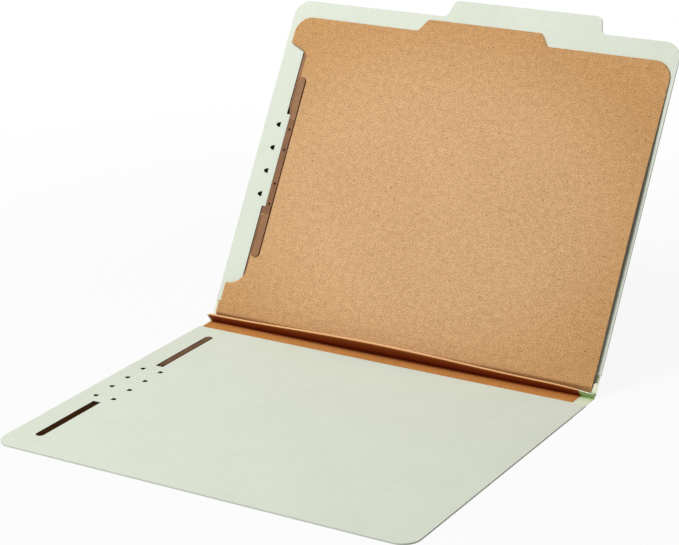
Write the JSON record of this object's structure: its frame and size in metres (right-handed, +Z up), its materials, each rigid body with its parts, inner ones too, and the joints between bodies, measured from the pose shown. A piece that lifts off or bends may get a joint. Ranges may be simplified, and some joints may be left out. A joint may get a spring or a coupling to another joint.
{
  "type": "classification folder",
  "caption": "Pressboard classification folder standing open, with a pleated cloth gusset spine, a kraft divider with a tab, and two-prong paper fasteners.",
  "frame": {"origin": "middle of the front cover's spine edge, on the flat underside that rests on the table", "axes": "+X along the spine to the right, +Y from the front cover to the back cover, +Z up from the table"},
  "size_m": [0.2984, 0.3744, 0.2162],
  "materials": {
    "pressboard": "matte, faintly mottled pressed fibre board, pale grey green",
    "kraft_lining": "matte orange brown kraft",
    "kraft_divider": "matte tan kraft with fine fibre specks",
    "gusset_cloth": "cream spun fibre sheet",
    "prong_metal": "satin brown coating",
    "base_metal": "dark brown coating"
  },
  "bodies": {
    "front_cover": {"front_cover_outer": "pressboard", "front_cover_inner": "pressboard", "front_fastener_base": "base_metal", "gusset_front_flap": "gusset_cloth"},
    "gusset_1": {"gusset_panel_1": "gusset_cloth", "gusset_liner_1": "kraft_lining"},
    "gusset_2": {"gusset_panel_2": "gusset_cloth", "gusset_liner_2": "kraft_lining"},
    "gusset_3": {"gusset_panel_3": "gusset_cloth", "gusset_liner_3": "kraft_lining"},
    "gusset_4": {"gusset_panel_4": "gusset_cloth", "gusset_liner_4": "kraft_lining", "divider_foot": "kraft_lining"},
    "back_cover": {"back_cover_outer": "pressboard", "back_cover_inner": "pressboard", "back_fastener_base": "base_metal", "gusset_back_flap": "gusset_cloth"},
    "divider": {"divider_panel": "kraft_divider", "divider_front_base": "prong_metal", "divider_rear_base": "prong_metal", "divider_rivets": "base_metal"},
    "front_spine_prong": {"front_spine_prong": "prong_metal"},
    "front_edge_prong": {"front_edge_prong": "prong_metal"},
    "back_spine_prong": {"back_spine_prong": "prong_metal"},
    "back_edge_prong": {"back_edge_prong": "prong_metal"},
    "divider_front_spine_prong": {"divider_front_spine_prong": "prong_metal"},
    "divider_front_edge_prong": {"divider_front_edge_prong": "prong_metal"},
    "divider_rear_spine_prong": {"divider_rear_spine_prong": "prong_metal"},
    "divider_rear_edge_prong": {"divider_rear_edge_prong": "prong_metal"}
  },
  "joints": [
    {"name": "front_fold", "type": "hinge", "parent": "front_cover", "child": "gusset_1", "pos_m": [0, 0.001, 0.0002], "axis": [1, 0, 0], "range_deg": [0, 90]},
    {"name": "pleat_open", "type": "hinge", "parent": "gusset_1", "child": "gusset_2", "pos_m": [0, 0.0137, 0.0005], "axis": [1, 0, 0], "range_deg": [-126, 0]},
    {"name": "ridge_open", "type": "hinge", "parent": "gusset_2", "child": "gusset_3", "pos_m": [0, 0.01053, 0.00623], "axis": [1, 0, 0], "range_deg": [0, 178.5]},
    {"name": "cover_swing", "type": "hinge", "parent": "gusset_3", "child": "gusset_4", "pos_m": [0, 0.01512, 0.00156], "axis": [1, 0, 0], "range_deg": [-58.25, 31.75]},
    {"name": "back_fold", "type": "hinge", "parent": "gusset_4", "child": "back_cover", "pos_m": [0, 0.02206, 0.0122], "axis": [1, 0, 0], "range_deg": [-52.5, 0]},
    {"name": "divider_turn", "type": "hinge", "parent": "back_cover", "child": "divider", "pos_m": [0, 0.01952, 0.01447], "axis": [-1, 0, 0], "range_deg": [-124, 0]},
    {"name": "front_spine_prong_bend", "type": "hinge", "parent": "front_cover", "child": "front_spine_prong", "pos_m": [-0.13043, -0.07477, 0.00085], "axis": [-1, 0, 0], "range_deg": [-90, 0]},
    {"name": "front_edge_prong_bend", "type": "hinge", "parent": "front_cover", "child": "front_edge_prong", "pos_m": [-0.13043, -0.14463, 0.00085], "axis": [1, 0, 0], "range_deg": [-90, 0]},
    {"name": "back_spine_prong_bend", "type": "hinge", "parent": "back_cover", "child": "back_spine_prong", "pos_m": [-0.13043, 0.05979, 0.07443], "axis": [1, 0, 0], "range_deg": [-1.5, 0]},
    {"name": "back_edge_prong_bend", "type": "hinge", "parent": "back_cover", "child": "back_edge_prong", "pos_m": [-0.13043, 0.09655, 0.13383], "axis": [-1, 0, 0], "range_deg": [-1.5, 0]},
    {"name": "divider_front_spine_prong_bend", "type": "hinge", "parent": "divider", "child": "divider_front_spine_prong", "pos_m": [-0.12577, 0.05443, 0.07175], "axis": [1, 0, 0], "range_deg": [-90, 0]},
    {"name": "divider_front_edge_prong_bend", "type": "hinge", "parent": "divider", "child": "divider_front_edge_prong", "pos_m": [-0.12577, 0.09119, 0.13115], "axis": [-1, 0, 0], "range_deg": [-90, 0]},
    {"name": "divider_rear_spine_prong_bend", "type": "hinge", "parent": "divider", "child": "divider_rear_spine_prong", "pos_m": [-0.12577, 0.05521, 0.07127], "axis": [-1, 0, 0], "range_deg": [-2.5, 0]},
    {"name": "divider_rear_edge_prong_bend", "type": "hinge", "parent": "divider", "child": "divider_rear_edge_prong", "pos_m": [-0.12577, 0.09196, 0.13067], "axis": [1, 0, 0], "range_deg": [-2.5, 0]}
  ],
  "couplings": [
    {"joint": "ridge_open", "follows": "pleat_open", "ratio": -1.4167}
  ]
}
